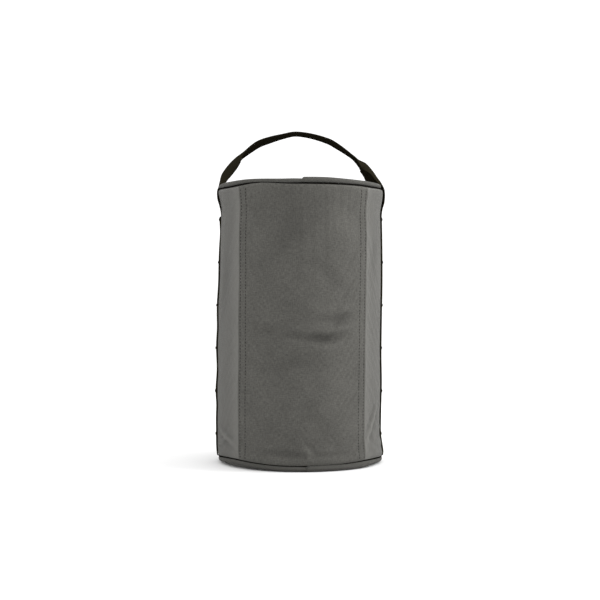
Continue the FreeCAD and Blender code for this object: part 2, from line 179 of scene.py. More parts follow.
def shell(name, outer, inner, coords, material, body=None, wrap=False):
    """Cloth with a thickness: two grids of points, rows by columns, joined around their edges."""
    rows, columns = outer.shape[:2]
    count = rows * columns
    faces = grid_faces(rows, columns, wrap)
    faces += grid_faces(rows, columns, wrap, first=count, flip=True)
    for j, flip in ((0, False), (columns - 1, True)):
        for i in range(rows if wrap else rows - 1):
            a, b = i * columns + j, (i + 1) % rows * columns + j
            quad = (a, a + count, b + count, b)
            faces.append(quad[::-1] if flip else quad)
    if not wrap:
        for i, flip in ((0, True), (rows - 1, False)):
            for j in range(columns - 1):
                a = i * columns + j
                quad = (a, a + count, a + 1 + count, a + 1)
                faces.append(quad[::-1] if flip else quad)
    verts = np.concatenate([outer.reshape(-1, 3), inner.reshape(-1, 3)])
    doubled = [np.tile(c.ravel(), 2) for c in np.broadcast_arrays(*coords)]
    return make_piece(name, verts, faces, material, doubled, body)


def around(radius, turn, z):
    """Points at a radius and a turn around the wall."""
    radius, turn, z = np.broadcast_arrays(radius, turn, z)
    return np.stack([radius * np.sin(turn), -radius * np.cos(turn), z], axis=-1)


def lofted(name, rings, coords, material, body=None, closed=False):
    """A tube through rings of points, with its ends closed unless it is a loop."""
    rows, columns = rings.shape[:2]
    faces = grid_faces(rows, columns, True, True) if closed else capped_tube(rows, columns)
    return make_piece(name, rings.reshape(-1, 3), faces, material, coords, body)


# ---------------------------------------------------------------- materials


def feed(tree, socket, value):
    """Links a socket to another one, or sets it to a plain value."""
    if isinstance(value, bpy.types.NodeSocket):
        tree.links.new(value, socket)
    elif isinstance(value, tuple) and len(value) == 3 and socket.type == "RGBA":
        socket.default_value = (*value, 1)
    else:
        socket.default_value = value


def calc(tree, operation, *values):
    node = tree.nodes.new("ShaderNodeMath")
    node.operation = operation
    for socket, value in zip(node.inputs, values):
        feed(tree, socket, value)
    return node.outputs[0]


def product(tree, *values):
    total = values[0]
    for value in values[1:]:
        total = calc(tree, "MULTIPLY", total, value)
    return total


def blend_colours(tree, share, first, second):
    node = tree.nodes.new("ShaderNodeMix")
    node.data_type = "RGBA"
    feed(tree, node.inputs["Factor"], share)
    feed(tree, node.inputs[6], first)
    feed(tree, node.inputs[7], second)
    return node.outputs[2]


def spread(tree, value, low, high):
    """Maps a value that runs from 0 to 1 onto low to high."""
    node = tree.nodes.new("ShaderNodeMapRange")
    feed(tree, node.inputs[0], value)
    node.inputs[3].default_value = low
    node.inputs[4].default_value = high
    return node.outputs[0]


def stored(tree, label):
    """A value that the mesh stores at each of its points."""
    node = tree.nodes.new("ShaderNodeAttribute")
    node.attribute_name = label
    return node.outputs["Fac"]


def cloth_place(tree):
    """The place on the cloth that make_piece stored, along and across it, in metres."""
    return stored(tree, "cloth_u"), stored(tree, "cloth_v")


def object_place(tree):
    node = tree.nodes.new("ShaderNodeTexCoord")
    return node.outputs["Object"]


def noise_at(tree, where, scale, detail, stretch=(1, 1, 1)):
    """Noise from 0 to 1. scale is in features per metre."""
    mapping = tree.nodes.new("ShaderNodeMapping")
    feed(tree, mapping.inputs["Vector"], where)
    mapping.inputs["Scale"].default_value = stretch
    node = tree.nodes.new("ShaderNodeTexNoise")
    feed(tree, node.inputs["Vector"], mapping.outputs[0])
    node.inputs["Scale"].default_value = scale
    node.inputs["Detail"].default_value = detail
    return node.outputs["Fac"]


def cloth_noise(tree, scale, detail, stretch=(1, 1, 1)):
    """Noise that lies in the cloth, along its threads."""
    place = tree.nodes.new("ShaderNodeCombineXYZ")
    for socket, value in zip(place.inputs, cloth_place(tree)):
        feed(tree, socket, value)
    return noise_at(tree, place.outputs[0], scale, detail, stretch)


def arches(tree, value, rate):
    """A row of round arches, from 0 to 1 high, one for every half turn of rate times value."""
    return calc(tree, "ABSOLUTE", calc(tree, "SINE", product(tree, value, rate)))


def plain_weave(tree, pitch):
    """The height, from 0 to 1, of threads that go over and under each other."""
    across, along = (calc(tree, "DIVIDE", value, pitch) for value in cloth_place(tree))
    warp, weft = arches(tree, across, math.pi), arches(tree, along, math.pi)
    cells = calc(tree, "ADD", calc(tree, "FLOOR", across), calc(tree, "FLOOR", along))
    over = calc(tree, "FLOORED_MODULO", cells, 2.0)
    warp_top = product(tree, warp, spread(tree, weft, 0.55, 1.0), over)
    weft_top = product(tree, weft, spread(tree, warp, 0.55, 1.0), calc(tree, "SUBTRACT", 1.0, over))
    return calc(tree, "ADD", warp_top, weft_top)


def twill(tree, pitch):
    """Diagonal ribs, mirrored every few threads as in webbing's herringbone."""
    u, v = cloth_place(tree)
    slanted = calc(tree, "ADD", calc(tree, "PINGPONG", u, 9 * pitch), v)
    wave = calc(tree, "SINE", product(tree, slanted, math.pi / pitch))
    ridge = product(tree, arches(tree, u, math.pi / pitch), 0.45)
    return calc(tree, "ADD", spread(tree, wave, 0.0, 0.35), ridge)


def new_material(name, roughness, bump_height, height, colour, **settings):
    """A material with a Principled shader. Plain numbers are set on the shader's own sockets."""
    material = bpy.data.materials.new(name)
    material.use_nodes = True
    tree = material.node_tree
    shader = tree.nodes["Principled BSDF"]
    feed(tree, shader.inputs["Base Color"], colour(tree))
    feed(tree, shader.inputs["Roughness"], roughness(tree) if callable(roughness) else roughness)
    for label, value in settings.items():
        feed(tree, shader.inputs[label.replace("_", " ")], value)
    bump = tree.nodes.new("ShaderNodeBump")
    bump.inputs["Strength"].default_value = 1.0
    bump.inputs["Distance"].default_value = bump_height
    feed(tree, bump.inputs["Height"], height(tree))
    feed(tree, shader.inputs["Normal"], bump.outputs[0])
    return material


def shaded(tree, colour, tone):
    """The colour times a tone that is 1 for the colour itself, from 0.5 up to 1.5."""
    dark, light = (tuple(share * c for c in colour) for share in (0.5, 1.5))
    return blend_colours(tree, calc(tree, "SUBTRACT", tone, 0.5), dark, light)


def canvas_material(name, colour, pitch, mottle, sheen, painted_light_share=0.0):
    """Woven cloth: its threads, slubs along both thread directions, and cloudy wear. With painted
    light and shade: lighter where the stored value is above 0 (painted highlights), darker below 0 (painted
    shade)."""

    def painted(tree):
        slub_across = cloth_noise(tree, 780, 2, (1, 0.25, 1))
        slub_along = cloth_noise(tree, 780, 2, (0.25, 1, 1))
        slubs = product(tree, calc(tree, "ADD", slub_across, slub_along), 0.5)
        tone = product(
            tree,
            spread(tree, slubs, 1 - 2 * mottle, 1 + 2 * mottle),
            spread(tree, cloth_noise(tree, 26, 3), 1 - mottle / 2, 1 + mottle / 2),
            spread(tree, plain_weave(tree, pitch), 0.62, 1.22),
            # painted light and shade: the stored value lightens the tone for painted highlights and darkens
            # it for painted shade
            calc(tree, "MULTIPLY_ADD", stored(tree, "painted_light"), painted_light_share, 1.0),
        )
        return shaded(tree, colour, tone)

    def heights(tree):
        grain = product(tree, cloth_noise(tree, 420, 2), 0.9)
        return calc(tree, "ADD", plain_weave(tree, pitch), grain)

    def rough(tree):
        return spread(tree, cloth_noise(tree, 60, 2), 0.72, 0.92)

    surface = {"Sheen_Weight": sheen, "Sheen_Roughness": 0.5, "Specular_IOR_Level": 0.15}
    return new_material(name, rough, 0.22 * MM, heights, painted, **surface)


def webbing_material(name, colour, pitch, rough):
    def painted(tree):
        rib = spread(tree, twill(tree, pitch), 0.8, 1.15)
        fuzz = spread(tree, cloth_noise(tree, 240, 3, (1, 0.3, 1)), 0.8, 1.2)
        return shaded(tree, colour, product(tree, rib, fuzz))

    def heights(tree):
        return twill(tree, pitch)

    return new_material(name, rough, 0.15 * MM, heights, painted, Specular_IOR_Level=0.0)


def solid_material(name, colour, rough, grain, bump, **settings):
    """Plastic, metal, thread or foam: one colour with fine grain and soft unevenness."""
    spot = 0.12

    def painted(tree):
        place = object_place(tree)
        cloud = spread(tree, noise_at(tree, place, 45, 4), 1 - spot, 1 + spot)
        fine = spread(tree, noise_at(tree, place, grain, 2), 1 - spot, 1 + spot)
        return shaded(tree, colour, product(tree, cloud, fine))

    def heights(tree):
        return noise_at(tree, object_place(tree), grain, 3)

    def roughness(tree):
        return spread(tree, noise_at(tree, object_place(tree), 110, 3), rough * 0.8, min(1.0, rough * 1.2))

    return new_material(name, roughness, bump, heights, painted, **settings)


CANVAS = canvas_material("canvas", (0.079, 0.077, 0.0695), 1.25 * MM, 0.42, 0.04, 0.20)
COATED = canvas_material("coated_cloth", (0.115, 0.113, 0.1045), 0.42 * MM, 0.05, 0.06, 0.65)
PIPING = canvas_material("piping_cloth", (0.084, 0.0825, 0.0745), 0.6 * MM, 0.12, 0.04, 0.3)
# The piping's cloth painted darker for the base: painted shade near the floor.
BASE_PIPING_SHADED = canvas_material("base_piping_cloth_shaded", (0.071, 0.0695, 0.0625), 0.6 * MM, 0.12, 0.04, 0.4)
LINING = canvas_material("lining_cloth", (0.22, 0.22, 0.21), 0.35 * MM, 0.05, 0.2)
BLACK_TAPE = webbing_material("black_tape", (0.0055, 0.0050, 0.0042), 0.5 * MM, 0.85)
WEBBING = webbing_material("webbing", (0.0168, 0.0145, 0.0092), 1.0 * MM, 0.9)
THREAD_LOOK = {"rough": 0.8, "grain": 1500, "bump": 0.05 * MM, "Specular_IOR_Level": 0.1}
GREY_THREAD = solid_material("grey_thread", (0.014, 0.0135, 0.012), **THREAD_LOOK)
BLACK_THREAD = solid_material("black_thread", (0.006, 0.0055, 0.0045), **THREAD_LOOK)
NYLON = solid_material("coil_nylon", (0.014, 0.014, 0.014), 0.35, 900, 0.02 * MM)
BLACK_METAL = solid_material("black_metal", (0.022, 0.022, 0.023), 0.32, 700, 0.02 * MM, Metallic=0.6)
STEEL = solid_material("steel", (0.52, 0.52, 0.51), 0.3, 1400, 0.02 * MM, Metallic=1.0)
MOULDED = solid_material("moulded_plastic", (0.018, 0.018, 0.019), 0.48, 520, 0.12 * MM)
LID_PLASTIC = solid_material("lid_plastic", (0.030, 0.030, 0.032), 0.42, 620, 0.08 * MM)
FOAM = solid_material("foam", (0.55, 0.54, 0.50), 0.95, 900, 0.3 * MM)
BOARD = solid_material("board", (0.04, 0.04, 0.04), 0.6, 400, 0.05 * MM)
CORD = solid_material("piping_cord", (0.6, 0.6, 0.57), 0.7, 500, 0.05 * MM)

# ---------------------------------------------------------------- the wall's shape

SEAM_TURN_IN = 2.4 * MM
SEAM_ROUND = 3.0 * MM
HEM_WIDTH = 16 * MM
HEM_PROUD = 0.35 * MM
STITCH_INSETS = (3.9 * MM, 13.4 * MM)

# The wall's outline on its two sides, as (height, radius) in millimetres. The straps' top tacks
# pull it in, and the cloth spreads a little above and below them.
LEFT_PROFILE = (
    (7.4, 116.0), (17, 117.0), (46, 117.3), (102, 117.3), (158, 116.8), (215, 116.0), (257, 114.7),
    (325, 113.6), (350, 112.0), (358, 111.8), (367, 113.2), (375, 115.0), (384.8, 116.4),
)
RIGHT_PROFILE = (
    (7.4, 117.0), (14, 117.8), (24, 116.9), (37, 115.3), (60, 114.8), (130, 115.0), (200, 115.6),
    (240, 116.0), (271, 115.9), (336, 114.9), (351, 114.6), (362, 116.0), (373, 117.9), (384.8, 118.2),
)

# How far the straps stand off the plain wall, or press into it, as (height, distance) in millimetres
LEFT_STRAP = (
    (10, -0.6), (30, -0.4), (64, -0.2), (81, -0.6), (100, 0.4), (130, -1.0), (166, 0.2),
    (190, -0.7), (218, 0.1), (252, -0.7), (280, -0.9), (303, -1.6), (325, -2.2), (346, -0.2),
)
RIGHT_STRAP = (
    (10, -0.9), (45, -1.6), (75, -0.9), (110, -0.2), (150, -1.1), (200, -1.0), (270, -0.3), (346, 0),
)

# Creases: arc, height, half length, half width (mm), depth (mm), tilt (degrees)
CREASES = (
    (33, 179, 22, 6.5, 2.1, 2),
    (-8, 181, 20, 5.5, 1.2, -5),
    (54, 197, 18, 5.0, 0.9, 8),
    (61, 207, 13, 4.5, 0.9, 10),
    (10, 27, 12, 3.5, -2.1, -55),
    (-20, 24, 26, 4.0, 1.0, -6),
    (-36, 192, 30, 7.0, 0.9, 3),
    (76, 346, 24, 16.0, 0.7, 0),
    (-8, 143, 18, 10.0, 0.9, 0),
    (-56, 141, 18, 7.0, 0.6, -16),
    (46, 204, 28, 7.0, 0.8, 4),
    (-4, 62, 40, 9.0, 0.5, 58),
    (26, 66, 44, 9.0, 0.4, -52),
    (36, 262, 34, 10.0, 0.5, -38),
    (-28, 306, 34, 12.0, 0.4, 18),
    (-122, 39, 24, 4.0, -1.2, -27),
    (119, 57, 32, 3.6, -1.3, 61),
    (128, 300, 40, 12.0, 0.4, 70),
    (-130, 250, 60, 12.0, 0.35, 80),
    (200, 150, 40, 8.0, 0.9, 20),
    (-215, 110, 36, 7.0, 0.8, -12),
    (345, 170, 42, 7.0, 1.3, 5),
    (372, 95, 30, 7.0, 0.9, -9),
    (320, 240, 36, 9.0, 0.6, 12),
)
DIMPLE = (4, 29, 4.5, -0.9)

# Patches of painted light (above 0) and painted shade (below 0) on the canvas: arc, height, half
# # width and half height (mm), and how much
LIGHT_AND_SHADE_PATCHES = (
    (-4, 322, 24, 42, -0.45),
    (-20, 145, 34, 12, -0.5),
    (58, 206, 16, 5, -0.7),
    (-20, 25, 32, 6, -0.9),
    (13, 24, 5, 9, 0.8),
    (62, 288, 14, 34, 0.4),
    (62, 338, 18, 32, 0.6),
    (-4, 358, 48, 18, -0.45),
    (15, 34, 80, 16, -0.3),
    (48, 236, 22, 12, 0.3),
    (-62, 250, 16, 60, 0.12),
    (60, 120, 26, 40, 0.2),
)


def crease_offset(arc, z):
    """How far the cloth stands out at each crease: a groove between two soft lips."""
    total = np.zeros(np.broadcast(arc, z).shape)
    whole = 2 * math.pi * WALL_R
    for centre, height, length, width, depth, tilt in CREASES:
        du = (arc - centre * MM + whole / 2) % whole - whole / 2
        dv = z - height * MM
        c, s = math.cos(math.radians(tilt)), math.sin(math.radians(tilt))
        along = (du * c + dv * s) / (length * MM)
        across = (dv * c - du * s) / (width * MM) + 0.25 * np.sin(along * 2.2 + centre)
        profile = -bell(across) + 0.45 * bell((across - 1.7) / 1.1) + 0.45 * bell((across + 1.7) / 1.1)
        total += depth * MM * profile * bell(along)
    centre, height, size, depth = DIMPLE
    away = np.hypot(arc - centre * MM, z - height * MM) / (size * MM)
    return total - depth * MM * bell(away)


# Painted light and shade from the patches: lighter above 0, darker below 0.
def painted_patch_light(arc, z):
    total = np.zeros(np.broadcast(arc, z).shape)
    for centre, height, half_width, half_height, amount in LIGHT_AND_SHADE_PATCHES:
        total += amount * hump(arc, centre, half_width) * hump(z, height, half_height)
    return total


def front_arc(turn):
    """The distance along the wall from the front centre, from -half to +half the way around."""
    return ((turn + math.pi) % (2 * math.pi) - math.pi) * WALL_R


def rim_wander(turn):
    """The rim's seam is high to the left of the front centre, and droops towards the sides."""
    arc = front_arc(turn)
    return 2.8 * MM * hump(arc, -55, 30) - 0.8 * MM * hump(np.abs(arc), 115, 25) - 0.9 * MM


def base_lift(turn):
    """The base's seam rises towards the sides of the front."""
    arc = front_arc(turn)
    return 5.0 * MM * hump(arc, -112, 58) + 3.2 * MM * hump(arc, 115, 58)


def on_wall(radius, turn, z):
    """Points on the wall, raised or lowered near its two seams as these wander."""
    near_rim = smooth(z, (WALL_HIGH - 50 * MM, WALL_HIGH), (0, 1))
    near_base = smooth(z, (WALL_LOW, WALL_LOW + 40 * MM), (1, 0))
    return around(radius, turn, z + rim_wander(turn) * near_rim + base_lift(turn) * near_base)


def settle_cloth(points, faces, held, padding, looseness):
    """Lets a slightly loose cloth, held at some of its points, settle over a pad. The pad is
    removed afterwards. Returns where the points come to rest."""
    gap = 0.5 * MM
    steps = 40
    cloth = make_piece("settling_cloth", points, faces, CANVAS)
    pins = cloth.vertex_groups.new(name="held")
    pins.add(np.flatnonzero(held).tolist(), 1.0, "REPLACE")
    padding.modifiers.new("Collision", "COLLISION")
    padding.collision.thickness_outer = gap
    simulation = cloth.modifiers.new("Cloth", "CLOTH")
    simulation.settings.quality = 6
    simulation.settings.mass = 0.2
    simulation.settings.tension_stiffness = 20
    simulation.settings.compression_stiffness = 20
    simulation.settings.bending_stiffness = 0.4
    simulation.settings.shrink_min = -looseness
    simulation.settings.vertex_group_mass = "held"
    simulation.collision_settings.distance_min = gap
    simulation.point_cache.frame_end = steps
    for step in range(1, steps + 1):
        bpy.context.scene.frame_set(step)
    settled = cloth.evaluated_get(bpy.context.evaluated_depsgraph_get()).to_mesh()
    found = np.empty(len(settled.vertices) * 3)
    settled.vertices.foreach_get("co", found)
    for piece in (cloth, padding):
        bpy.data.objects.remove(piece)
    bpy.context.scene.frame_set(1)
    return found.reshape(-1, 3)


def simulated_slack():
    """How far the wall's cloth stands out after it has settled over the padding, held at all its
    seams, on a grid of turns by heights."""
    turn_count, height_count = 168, 60
    turns = full_circle(turn_count)
    heights = np.linspace(WALL_LOW, WALL_HIGH, height_count)
    points = around(WALL_R, turns[:, None], heights[None, :]).reshape(-1, 3)
    seams = np.array([FRONT_LEFT, FRONT_RIGHT, math.pi - FRONT_RIGHT, math.pi - FRONT_LEFT])
    to_seam = np.abs((turns[:, None] - seams + math.pi) % (2 * math.pi) - math.pi).min(axis=1)
    held = np.zeros((turn_count, height_count), bool)
    held[to_seam < 1.6 * math.pi / turn_count] = True
    held[:, [0, -1]] = True
    pad_r = WALL_R - 3.0 * MM
    bpy.ops.mesh.primitive_cylinder_add(vertices=96, radius=pad_r, depth=0.5, location=(0, 0, 0.2))
    faces = grid_faces(turn_count, height_count, True)
    found = settle_cloth(points, faces, held.ravel(), bpy.context.object, 0.010)
    out = np.hypot(found[:, 0], found[:, 1]).reshape(turn_count, height_count) - WALL_R
    most, strength = 1.2 * MM, 0.6
    return np.clip(strength * (out - out.mean() * ~held), -most, most)


def cubic_weights(t):
    """How much each of four neighbours in a row counts, at t between the middle two."""
    return (
        (-t + 2 * t**2 - t**3) / 2,
        (2 - 5 * t**2 + 3 * t**3) / 2,
        (t + 4 * t**2 - 3 * t**3) / 2,
        (t**3 - t**2) / 2,
    )


def slack_at(turn, z):
    """The settled cloth's offset at any place on the wall, from its grid."""
    if SLACK is None:
        return 0.0
    rows, columns = SLACK.shape
    turn, z = np.broadcast_arrays(turn, z)
    i = turn / (2 * math.pi) % 1.0 * rows
    j = np.clip((z - WALL_LOW) / (WALL_HIGH - WALL_LOW), 0, 1) * (columns - 1)
    first_i, first_j = np.floor(i).astype(int), np.floor(j).astype(int)
    total = np.zeros(turn.shape)
    for di, weight_i in enumerate(cubic_weights(i - first_i), -1):
        for dj, weight_j in enumerate(cubic_weights(j - first_j), -1):
            near_j = np.clip(first_j + dj, 0, columns - 1)
            total += weight_i * weight_j * SLACK[(first_i + di) % rows, near_j]
    return total


def by_side(turn, z, left, right):
    """What the left column gives at z on the left side of the wall, and the right one on its right."""
    left, right = (tuple(np.array(column) * MM for column in zip(*pairs)) for pairs in (left, right))
    return np.where(np.sin(turn) > 0, smooth(z, *right), smooth(z, *left))


def plain_radius(turn, z):
    """The wall without its creases: drawn in where the handle is tacked to its sides."""
    sideways = np.sin(turn) ** 2
    return (WALL_R - 1.0 * MM) * (1 - sideways) + by_side(turn, z, LEFT_PROFILE, RIGHT_PROFILE) * sideways


def under_strap(turn):
    """1 beneath the side straps, falling to 0 a little way beyond their edges."""
    from_strap = np.abs(np.abs(front_arc(turn)) - math.pi / 2 * WALL_R)
    return smooth(from_strap, (STRAP_HALF, STRAP_HALF + 8 * MM), (1, 0))


def wall_radius(turn, z):
    """The outside of the wall without its hems: creased, uneven, and pressed in by the straps."""
    arc = turn * WALL_R
    uneven = 0.15 * MM * ripple(arc, z, 3, 0.11)
    settle = smooth(z, (WALL_LOW, WALL_LOW + 0.03, WALL_HIGH - 0.03, WALL_HIGH), (0, 1, 1, 0))
    loose = (uneven + crease_offset(arc, z)) * settle + slack_at(turn, z)
    covered = under_strap(turn)
    pressed = np.minimum(by_side(turn, z, LEFT_STRAP, RIGHT_STRAP), 0)
    return plain_radius(turn, z) + loose * (1 - covered) + pressed * covered


def strap_radius(turn, z):
    """The inner face of a side strap."""
    return plain_radius(turn, z) + by_side(turn, z, LEFT_STRAP, RIGHT_STRAP) + STRAP_GAP


def seam_inset(z):
    """How far the cloth turns in where it meets the rim seam and the base seam."""
    from_seam = np.minimum(WALL_HIGH - z, z - WALL_LOW)
    share = np.clip(from_seam / SEAM_ROUND, 0, 1)
    return SEAM_TURN_IN * (1 - np.sqrt(1 - (1 - share) ** 2))


def hem_offset(from_edge):
    """How far a lapped panel stands out near its edge: a folded hem with two stitched grooves."""
    hem = HEM_PROUD * (1 - 0.55 * smooth(from_edge, (0.8 * HEM_WIDTH, 2.2 * HEM_WIDTH), (0, 1)))
    edge = np.clip(from_edge / (0.9 * MM), 0, 1)
    rounded = 0.35 * MM * (1 - np.sqrt(1 - (1 - edge) ** 2))
    grooves = sum(0.2 * MM * bell((from_edge - inset) / (1.0 * MM)) for inset in STITCH_INSETS)
    return hem - rounded - grooves


def height_steps(spacing):
    """Heights up the wall, closer together where the cloth turns in at the seams."""
    middle = np.arange(WALL_LOW + 5 * MM, WALL_HIGH - 5 * MM, spacing)
    turn_in = 5 * MM * (np.arange(9) / 9) ** 1.5
    return np.concatenate([WALL_LOW + turn_in, middle, (WALL_HIGH - turn_in)[::-1]])


def add_painted_light(piece, painted_light, layers=2):
    """Stores painted light at each point, from -1 to 2: above 0 a painted highlight, below 0 painted
    shade. A shell has two layers of points."""
    layer = piece.data.attributes.new("painted_light", "FLOAT", "POINT")
    layer.data.foreach_set("value", np.tile(np.clip(painted_light, -1, 2).astype(np.float32).ravel(), layers))


def at_rim(z):
    """1 where the cloth rolls over into the rim's seam, falling to 0 just below it: where a highlight is
    painted on the wall's top lip.
    """
    return bell((WALL_HIGH - z) / (3 * MM))


def hem_drift(edge, z):
    """How far the front canvas's right hem runs outwards as it goes up. The others are straight."""
    if edge != FRONT_RIGHT:
        return 0.0
    return smooth(z, (0.01, 0.18, 0.38), (0.5 * MM, 2.6 * MM, 4.8 * MM))


def wall_cloth(name, radius, turn, z, thick, material):
    """Cloth that follows the wall. radius and turn are those of its outer face."""
    outer, inner = on_wall(radius, turn, z), on_wall(radius - thick, turn, z)
    return shell(name, outer, inner, (turn * WALL_R, z), material, "case")


def lapped_panel(name, start, end):
    """A canvas panel with stitched hems, lapped over its neighbours."""
    width = (end - start) * WALL_R
    # Closer together around the hem's edge and its two rows of stitches
    near_edge = np.array([0, 0.15, 0.4, 0.8, 1.6, 2.8, 3.9, 5.0, 6.5, 8.5, 10.5, 12.2, 13.4, 14.6]) * MM
    middle = np.linspace(HEM_WIDTH, width - HEM_WIDTH, int(width / (2 * MM)))
    across = np.concatenate([near_edge, middle, (width - near_edge)[::-1]])
    z = height_steps(2 * MM)[None, :]
    turn = start + across[:, None] * (1 + hem_drift(end, z) / width) / WALL_R
    from_edge = np.minimum(across, width - across)[:, None]
    pucker = 0.10 * MM * np.sin(2 * math.pi * z / (3.2 * MM) + 6 * np.sin(z * 90))
    near_stitch = sum(bell((from_edge - inset) / (2.5 * MM)) for inset in STITCH_INSETS)
    radius = wall_radius(turn, z) + hem_offset(from_edge) + pucker * near_stitch - seam_inset(z)
    arc = turn * WALL_R
    panel = wall_cloth(name, radius, turn, z, 0.8 * FABRIC, CANVAS)
    # Painted light and shade: darker in the crease grooves, lighter on their lips, the lit and shaded
    # patches, and a painted highlight on the top lip under the rim.
    add_painted_light(panel, crease_offset(arc, z) / (2.6 * MM) + painted_patch_light(arc, z) + 2 * at_rim(z))
    return panel


def side_panel(name, start, end):
    """A smooth panel that runs on a little way under the canvas panels' hems."""
    underlap = 6 * MM
    reach = underlap / WALL_R
    turns = np.arange(start - reach, end + reach, 1.5 * MM / WALL_R)[:, None]
    z = height_steps(1.6 * MM)[None, :]
    radius = wall_radius(turns, z) - seam_inset(z)
    panel = wall_cloth(name, radius, turns, z, 0.7 * FABRIC, COATED)
    # Painted light and shade: darker in the folds' grooves and lighter on their lips, with painted
    # highlights along the canvas hems, beside the straps and on the top lip under the rim.
    to_canvas = np.minimum(turns - start, end - turns) * WALL_R
    to_strap = np.abs(front_arc(turns)) - (math.pi / 2 * WALL_R - STRAP_HALF)
    fold_light_and_shade = crease_offset(turns * WALL_R, z) / (2.2 * MM) * (1 - under_strap(turns))
    add_painted_light(panel, fold_light_and_shade + 0.45 * bell(to_canvas / (14 * MM)) + bell(to_strap / (4 * MM)) + 0.6 * at_rim(z))
    return panel


SLACK = simulated_slack()


def build_wall():
    back_left, back_right = math.pi - FRONT_RIGHT, math.pi - FRONT_LEFT
    pieces = {
        "front_panel": lapped_panel("front_canvas", FRONT_LEFT, FRONT_RIGHT),
        "back_panel": lapped_panel("back_canvas", back_left, back_right),
        "side_panel_right": side_panel("side_cloth_right", FRONT_RIGHT, back_left),
        "side_panel_left": side_panel("side_cloth_left", back_right, 2 * math.pi + FRONT_LEFT),
    }
    for node, piece in pieces.items():
        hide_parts(node)
    turns = full_circle(180)[:, None]
    z = height_steps(5 * MM)[None, :]
    quilt = 0.5 * MM * np.cos(turns * 24) ** 2 * np.sin((z - WALL_LOW) * math.pi / (WALL_HIGH - WALL_LOW))
    behind_cloth, loft = 3.0 * MM, 4.0 * MM
    outside = wall_radius(turns, z) - behind_cloth - seam_inset(z)
    inside = LINING_R - loft - quilt
    outer, inner = on_wall(outside, turns, z), around(inside, turns, z)
    pad = shell("wall_padding", outer, inner, (turns * LINING_R, z), LINING, "case", True)
    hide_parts("wall_foam", "wall_lining")


# ---------------------------------------------------------------- piping and seams

PIPE_SIDES = 20


def piping_ring(name, z, joint_turn, step, shape, press, cloth):
    """Cloth-covered piping whose two ends meet at a joint, one tucked into the other. shape gives
    how far it is raised and thickened along its arc, and press how far the handle pushes it in on
    its left and on its right."""
    overlap = 6 * MM / PIPE_CIRCLE
    share = np.linspace(0, 1, 361)
    turns = joint_turn + share * (2 * math.pi + overlap)
    from_start = share * 2 * math.pi * PIPE_CIRCLE
    to_end = (1 - share) * 2 * math.pi * PIPE_CIRCLE
    swell = 0.4 * MM * hump(from_start, 0, 40) - 0.8 * MM * hump(to_end, 0, 14)
    end_round = 1.4 * MM
    past_end = 1 - np.clip(from_start / end_round, 0, 1)
    rounded_end = end_round * (1 - np.sqrt(1 - past_end**2))
    raised, thicker = shape(turns)
    radius = PIPE_R - 0.15 * MM + swell - rounded_end + thicker
    radius += 0.1 * MM * ripple(turns * PIPE_CIRCLE, 0, 11, 0.05)
    joint_length, fade = 28 * MM, 30 * MM
    rise = raised + step * bell(np.maximum(from_start - joint_length, 0) / fade)
    pressed = np.where(front_arc(turns) < 0, *press) * bell(np.cos(turns) / 0.2)
    spin = full_circle(PIPE_SIDES)[None, :]
    ring_r = (PIPE_CIRCLE - pressed)[:, None] + radius[:, None] * np.cos(spin)
    ring_z = (z + rise)[:, None] + radius[:, None] * np.sin(spin)
    rings = around(ring_r, turns[:, None], ring_z)
    length = turns[:, None] * PIPE_CIRCLE
    girth = PIPE_R * spin
    slant = 0.707
    bias = ((length + girth) * slant, (length - girth) * slant)
    piece = lofted(name, rings, bias, cloth, "case")
    # Painted shade: the underside of the roll is darker.
    painted_shade_below = -bell((np.sin(spin) + 1) / 0.7) + 0 * length
    add_painted_light(piece, painted_shade_below, 1)
    return piece


def rim_shape(turn):
    """How far the rim piping is raised and thickened: it is pinched to the left of the front centre."""
    arc = front_arc(turn)
    thin = 0.8 * MM * hump(arc, -50, 36)
    raised = 0.15 * MM * ripple(turn * PIPE_CIRCLE, 0, 17, 0.16) + thin
    raised += 0.5 * MM * hump(arc, -80, 25) - 0.8 * MM * hump(arc, -25, 25)
    raised -= 0.5 * MM * hump(np.abs(arc), 125, 30)
    return raised, -thin


def base_shape(turn):
    """The same for the base piping, which rises with its seam towards the sides of the front."""
    lift = base_lift(turn)
    hoist = smooth(front_arc(turn), (-20 * MM, 90 * MM, 130 * MM), (0.97, 0.5, 0.8))
    uneven = 0.15 * MM * ripple(turn * PIPE_CIRCLE, 0, 17, 0.16)
    return np.abs(uneven) + hoist * lift, (1 - hoist) * lift


def binding_and_seam_shade(name, z, wander, thick):
    """A black ring between the wall and the piping: partly the binding's dark edge, partly painted shade
    standing in for the shadowed gap of the seam.
    """
    turns = full_circle(300)[:, None]
    spin = full_circle(10)[None, :]
    z = z + wander(turns) + 0.1 * MM * ripple(turns * WALL_R, 0, 23, 0.09)
    radius = plain_radius(turns, z) - SEAM_TURN_IN + 0.5 * MM
    rings = around(radius + 1.5 * MM * np.cos(spin), turns, z + thick * np.sin(spin))
    return lofted(name, rings, (turns * WALL_R, thick * spin), BLACK_TAPE, "case", True)


